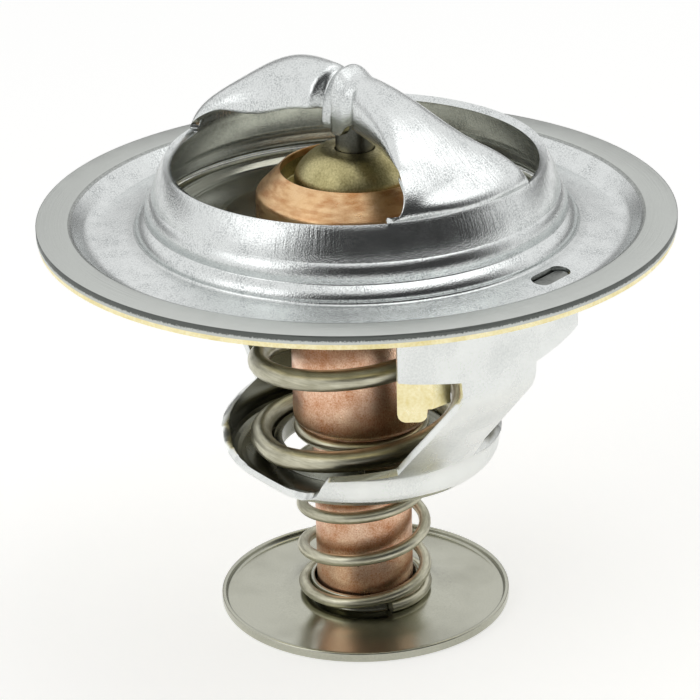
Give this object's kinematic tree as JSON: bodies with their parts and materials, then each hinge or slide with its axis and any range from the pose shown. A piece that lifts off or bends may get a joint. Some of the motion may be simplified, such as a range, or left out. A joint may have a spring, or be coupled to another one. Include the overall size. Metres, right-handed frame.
{
  "type": "engine thermostat",
  "caption": "Wax-element engine thermostat: flanged stepped collar with a bridge, copper cup, coil springs, windowed frame and dished bypass plate.",
  "frame": {"origin": "on the axis, in the top plane of the flange", "axes": "+Z along the axis, up from the flange to the bridge; X along the bridge and through the frame's legs"},
  "size_m": [0.067, 0.067, 0.0613],
  "materials": {
    "zinc_steel": "zinc-plated drawn sheet",
    "yellow_zinc": "yellow-passivated zinc",
    "spring_steel": "drawn spring wire",
    "plate_steel": "satin stamped sheet",
    "spindle_steel": "ground rod",
    "copper": "drawn copper, blasted",
    "brass": "dull turned brass",
    "black_rubber": "moulded",
    "wax": "cast wax with copper powder"
  },
  "bodies": {
    "housing": {"upper_housing": "zinc_steel", "retaining_ring": "yellow_zinc", "spring_frame": "zinc_steel", "spindle": "spindle_steel", "main_spring": "spring_steel"},
    "element": {"valve_plate": "plate_steel", "wax_cup": "copper", "spindle_guide": "brass", "rubber_boot": "black_rubber", "wax_charge": "wax", "bypass_spring": "spring_steel", "bypass_washer": "plate_steel"},
    "bypass": {"bypass_plate": "plate_steel"}
  },
  "joints": [
    {"name": "valve_slide", "type": "slide", "parent": "housing", "child": "element", "axis": [0, 0, -1], "range_m": [0, 0.008], "stiffness_N_per_m": 2000, "springref_m": -0.03, "deforming": ["main_spring"]},
    {"name": "bypass_slide", "type": "slide", "parent": "element", "child": "bypass", "axis": [0, 0, 1], "range_m": [0, 0.005], "stiffness_N_per_m": 800, "springref_m": -0.015, "deforming": ["bypass_spring"]}
  ]
}
